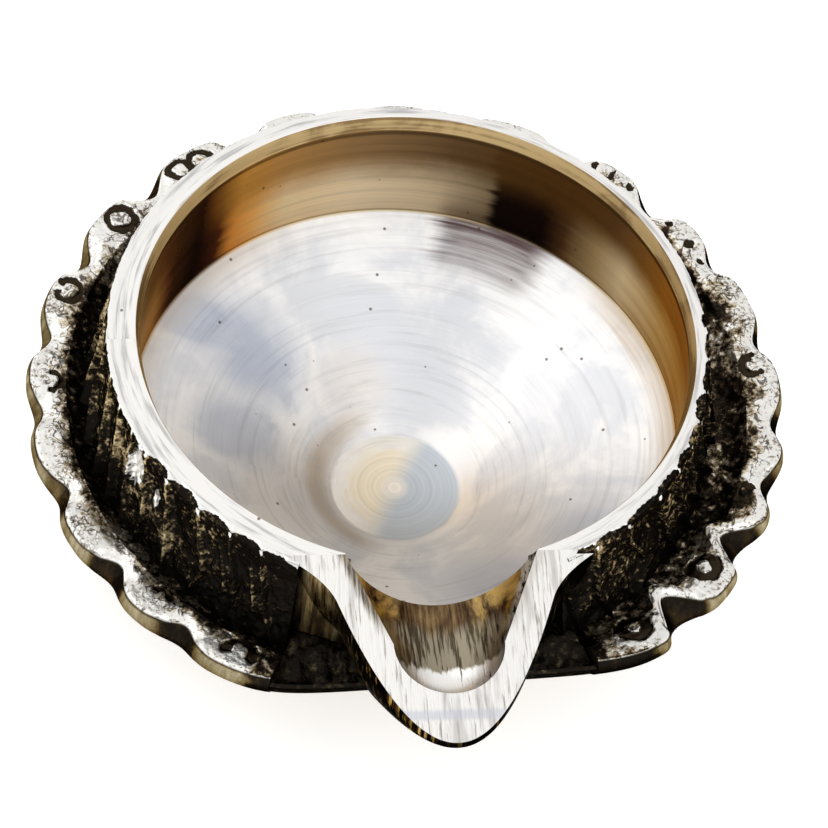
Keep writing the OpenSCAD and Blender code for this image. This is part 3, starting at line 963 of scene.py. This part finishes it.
def make_flange():
    """Scalloped flange: valley, punched top face, skirt and hollow underside."""
    angle = capped(np.linspace(GAP_HALF_ANGLE, 360 - GAP_HALF_ANGLE, 1700))
    top_r = edge_radius(angle, 1.0)
    in_r = np.minimum(FLANGE_IN_R, top_r - 1.8)
    hollow = smoothstep(0.25, 1.3, notch_depth(angle, 1.0))
    points, shine, skirt, tone, top_rows = flange_rows(angle, top_r, in_r, hollow)
    radius = np.hypot(points[..., 0], points[..., 1])
    rough = octaves(points, 0.9, 3)
    inner = 1 - smoothstep(in_r - 0.4, in_r + 1.6, radius)
    wear = grain(points, 7.0, 17)
    shine = shine - 0.35 * smoothstep(0.45, 0.85, wear) * (shine < 0.99)
    # Darker patches on the right side of the top: painted shade
    shaded_side = smoothstep(52.0, 75.0, angle) * (1 - smoothstep(150.0, 175.0, angle))
    patchy = smoothstep(0.40, 0.70, octaves(points, 3.0, 61))
    shine = shine - 0.45 * shaded_side * patchy * (shine < 0.99)
    lower = (0.10 + 0.55 * inner) * rough
    points[:top_rows, :, 2] -= lower[:top_rows]
    mark = np.zeros_like(radius)
    mark[:top_rows] = punch(points[:top_rows], 0.22)
    to_end = np.minimum(angle - GAP_HALF_ANGLE, (360 - GAP_HALF_ANGLE - angle) * 0.45)
    black_end = 1 - smoothstep(0.6, 2.4, to_end + 1.6 * (rough - 0.5))
    shine = shine - 0.8 * black_end * (1 - skirt)
    tone = tone * (1 - 0.8 * black_end)
    shine[:, [0, -1]] = 0.0
    outline = 1 - smoothstep(0.15, 0.55, top_r - radius)
    ragged = smoothstep(0.38, 0.62, octaves(points, 1.6, 53))
    mark[:top_rows] = np.maximum(mark[:top_rows], (0.75 * outline * ragged)[:top_rows])
    front_patch = 1 - smoothstep(-33.9, -32.7, points[..., 1] + 1.2 * (rough - 0.5))
    front_patch = front_patch * (points[..., 0] > 0)
    shine = shine - 0.62 * front_patch * (1 - skirt)
    tone = tone * (1 - 0.8 * front_patch)
    mark[:, [0, -1]] = 0.85
    obj = add_object("scalloped_flange", points.reshape(-1, 3), ring_faces(*shine.shape), 50)
    shine = np.clip(shine, 0, 1)
    for name, values in (("relief", tone), ("shine", shine), ("skirt", skirt), ("mark", mark)):
        set_attribute(obj, name, values)
    own(obj, flange_brass(), "flange")


def make_ledge():
    """Low pebbled ledge that carries the spout, filed flat in front."""
    columns = 220
    angle = np.linspace(-GAP_HALF_ANGLE, GAP_HALF_ANGLE, columns)
    front = front_radius(angle)
    rows = [polar(angle, RIM_R - 1.2, LEDGE_TOP_Z)]
    for t in shares(24):
        mound = 1.2 * (1 - smoothstep(0.35, 0.95, t))
        rows.append(polar(angle, RIM_R - 1 + (front - RIM_R + 0.7) * t, LEDGE_TOP_Z + mound))
    top_rows = len(rows)
    edge_z = LEDGE_TOP_Z - 0.3
    for t in shares(10):
        rows.append(polar(angle, front - 0.8 * t, edge_z - (edge_z - SKIRT_FOOT_Z) * t))
    rows.append(polar(angle, RIM_R + 1.2, SKIRT_FOOT_Z))
    rows.append(polar(angle, RIM_R - 1.2, FLANGE_FOOT_Z))
    points = np.array(rows)
    rough = octaves(points, 0.9, 8)
    points[1:top_rows - 1, :, 2] -= 0.9 * rough[1:top_rows - 1]
    ledge = add_object("front_ledge", points.reshape(-1, 3), ring_faces(len(rows), columns), 50)
    set_attribute(ledge, "relief", rough)
    own(ledge, pebbled_brass(), "flange")


def ground_edge(angle, place, to_end, cut, shape, radius, rough):
    """Rows across the ground edge of the rim: bright cusps between the petals that bite into it.
    shape, radius and rough are those of the leaves' top row."""
    petal = np.floor(place)
    u = 2 * (place - petal) - 1
    depth_of_petal = 0.35 + 0.75 * lattice(petal, 5, 5, 6)
    seen = np.maximum(1 - smoothstep(70.0, 118.0, angle), smoothstep(288.0, 304.0, angle))
    bite = 0.05 + 0.75 * np.sqrt(np.clip(1 - (u / 0.92) ** 2, 0, 1)) * depth_of_petal
    seen = seen * smoothstep(0.6, 3.5, to_end)
    bite = (bite + 0.50) * seen - 0.50 + 0.30 * (octaves(shape, 2.2, 47) - 0.5)
    points = []
    shine = []
    for t in shares(8, 1):
        in_from = radius - (radius - (RIM_R - cut - 0.08)) * t
        depth = (RIM_R + 0.2 - in_from) / 1.1
        dark = smoothstep(-0.10, 0.10, bite - depth + 0.55 * (rough - 0.5))
        points.append(polar(angle, in_from, RIM_H - 0.03 - 0.35 * dark * (1 - 0.5 * t)))
        shine.append(1 - dark)
    return points, np.array(shine)


def make_leaf_band():
    """Leaf relief round the bowl: hollow petals between raised ridges, ground flat at the rim."""
    angle = capped(np.linspace(GAP_HALF_ANGLE, 360 - GAP_HALF_ANGLE, 1500))
    columns = len(angle)
    up = np.linspace(0, 1, 60)[:, None]
    wave = 0.15 * np.sin(np.radians(angle * 5)) + 0.12 * np.sin(np.radians(angle * 11 + 40))
    pitch = (360 - 2 * GAP_HALF_ANGLE) / LEAF_COUNT
    place = (angle - GAP_HALF_ANGLE) / pitch + wave
    z = LEAF_FOOT_Z + (RIM_H - 0.04 - VALLEY_Z + 0.3) * up
    base = LEAF_FOOT_R + (LEAF_TOP_R - LEAF_FOOT_R) * up ** 0.8
    shape = polar(angle, base, z)
    bend = 0.9 * (grain(shape, 6.0, 5) - 0.5)
    slanted = place - 0.55 * (1 - up) + bend * (1 - up)
    which = np.floor(slanted)
    x = 2 * (slanted - which) - 1
    rough = octaves(shape, 1.1, 11)
    veins = octaves(shape * np.array([1, 1, 0.4]), 0.9, 21)
    arch = 0.965 - 0.09 * lattice(which, 0, 0, 2) - 0.10 * x ** 2
    scoop = smoothstep(0.02, 0.45, 1 - np.abs(x) ** 2.4) * smoothstep(0.0, 0.05, arch - up)
    ridge = np.exp(-((np.abs(x) - 1) / 0.15) ** 2)
    keep = smoothstep(0.35, 0.65, octaves(shape, 4.5, 41, 2) + 0.35 * up - 0.12)
    middle = np.exp(-((x - 0.15) / 0.12) ** 2) * smoothstep(0.1, 0.35, up)
    middle = middle * (1 - smoothstep(0.6, 0.85, up))
    middle = middle * smoothstep(0.5, 0.7, lattice(which, 3, 1, 4)) * keep
    out = -1.05 * scoop + 0.45 * middle * scoop + 0.72 * (rough - 0.5) * scoop + 0.42 * (veins - 0.5)
    out = np.minimum(out, 0.25) * (1 - 0.15 * up)
    radius = np.maximum(base + out, RIM_R + 0.05)
    points = polar(angle, radius, z)
    left = smoothstep(180.0, 260.0, angle) * (1 - smoothstep(300.0, 325.0, angle))
    blackest = smoothstep(296.0, 312.0, angle)
    relief = 0.37 + 0.34 * ridge * keep * (0.6 + 0.4 * left) + 0.26 * middle + 0.55 * (rough - 0.5) * scoop
    relief = relief + 0.05 * left - 0.12 * blackest
    to_end = np.minimum(angle - GAP_HALF_ANGLE, 360 - GAP_HALF_ANGLE - angle)
    relief = relief - 0.22 * (1 - smoothstep(1.0, 6.0, to_end))
    above_foot = smoothstep(0.02, 0.22, up)
    relief = relief * above_foot + 0.12 * (1 - above_foot)
    shine = 0.95 * smoothstep(0.80, 1.0, np.abs(x)) * smoothstep(0.90, 0.985, up)
    # Painted highlights: bright spots added to the shine
    for spot_angle, spot_up, reach in LEAF_HIGHLIGHTS:
        distance = np.hypot((angle - spot_angle) / 2.6, (up - spot_up) / 0.30) / reach
        shine = np.maximum(shine, 0.75 * (1 - smoothstep(0.4, 1.0, distance + 0.9 * (rough - 0.5))))
    cut = rim_bite(angle)
    rim_points, rim_shine = ground_edge(angle, place, to_end, cut, shape[-1], radius[-1], rough[-1])
    inner = [
        polar(angle, RIM_R - cut + 0.02, RIM_H - cut - 0.1),
        polar(angle, RIM_R, RIM_H - cut - 0.2),
        polar(angle, RIM_R, LEAF_FOOT_Z),
    ]
    shine[-1] = np.maximum(shine[-1], 0.6 * rim_shine[0])
    points = np.concatenate([points, rim_points, inner])
    relief = np.concatenate([relief, np.full(rim_shine.shape, 0.40), np.zeros((3, columns))])
    shine = np.concatenate([shine, rim_shine, np.zeros((3, columns))])
    relief[:, [0, -1]] = 0.0
    shine[:, [0, -1]] = 0.0
    points = points + np.array([CAST_OFFSET[0], CAST_OFFSET[1], 0])
    band = add_object("leaf_relief", points.reshape(-1, 3), ring_faces(*shine.shape), 60)
    set_attribute(band, "relief", np.clip(relief, 0, 1))
    set_attribute(band, "shine", shine)
    own(band, leaf_brass(), "leaf_band")


def make_foot():
    """Flat turned foot, with a neck that runs up to the cone under the bowl."""
    neck_r = FOOT_R - 0.8
    profile = [(0, 0), (FOOT_R - 0.2, 0.0), (FOOT_R, 0.2), (FOOT_R, 1.4), (FOOT_R - 0.15, 1.6),
               (neck_r, 2.5), (neck_r, under_cone_z(neck_r)), (under_r, under_z), (0, under_z)]
    foot = lathe("turned_foot", profile, 256, [CAST_OFFSET] * len(profile))
    own(foot, cast_brass(), "foot")


# -- stage --

CAMERA_AZIMUTH = -11.9
CAMERA_ELEVATION = 52.95
CAMERA_ROLL = 8.5
CAMERA_DISTANCE = 593.5
CAMERA_AIM = (-1.3, -10.6, RIM_H)
CAMERA_LENS = 244.4


def make_camera():
    data = bpy.data.cameras.new("camera")
    data.lens = CAMERA_LENS
    data.sensor_width = 36
    data.clip_start = 0.01
    data.clip_end = 10
    camera = place_object("camera", data)
    a, e, r = (math.radians(v) for v in (CAMERA_AZIMUTH, CAMERA_ELEVATION, CAMERA_ROLL))
    back = Vector((math.sin(a) * math.cos(e), -math.cos(a) * math.cos(e), math.sin(e)))
    right = Vector((math.cos(a), math.sin(a), 0))
    up = back.cross(right)
    x_axis = right * math.cos(r) + up * math.sin(r)
    y_axis = up * math.cos(r) - right * math.sin(r)
    place = (Vector(CAMERA_AIM) + back * CAMERA_DISTANCE) * MM
    camera.matrix_world = Matrix.Translation(place) @ Matrix((x_axis, y_axis, back)).transposed().to_4x4()
    bpy.context.scene.camera = camera


def make_floor():
    half = 2000
    corners = [(-half, -half, 0), (half, -half, 0), (half, half, 0), (-half, half, 0)]
    floor = add_object("floor", corners, [(0, 1, 2, 3)])
    n = Nodes("floor_white")
    mottle = n.noise(n.coordinates, 12, 2.0)
    n.finish(n.mix(mottle, (0.95, 0.95, 0.95), (0.97, 0.97, 0.97)), 0.9, metallic=0.0)
    n.settings(n.shader, Emission_Color=(1, 1, 1, 1), Emission_Strength=0.45)
    floor.data.materials.append(n.material)


def area_light(name, place, target, size, power):
    data = bpy.data.lights.new(name, "AREA")
    data.shape = "RECTANGLE"
    data.size, data.size_y = size
    data.energy = power
    light = place_object(name, data)
    light.location = place
    light.rotation_euler = (Vector(target) - Vector(place)).to_track_quat("-Z", "Y").to_euler()


def make_lights():
    world = bpy.data.worlds.new("soft_white")
    bpy.context.scene.world = world
    world.use_nodes = True
    background = world.node_tree.nodes["Background"]
    background.inputs["Color"].default_value = (1, 1, 1, 1)
    background.inputs["Strength"].default_value = 1.0
    area_light("key", (-0.5, 0.35, 0.8), (0, 0, 0), (0.9, 0.9), 1.5)
    area_light("front", (0.3, -0.7, 0.7), (0, 0, 0), (0.6, 0.5), 1.5)


bpy.context.scene.view_settings.view_transform = "Standard"
make_camera()
make_floor()
make_lights()
make_bowl()
make_spout()
make_leaf_band()
make_flange()
make_ledge()
make_foot()
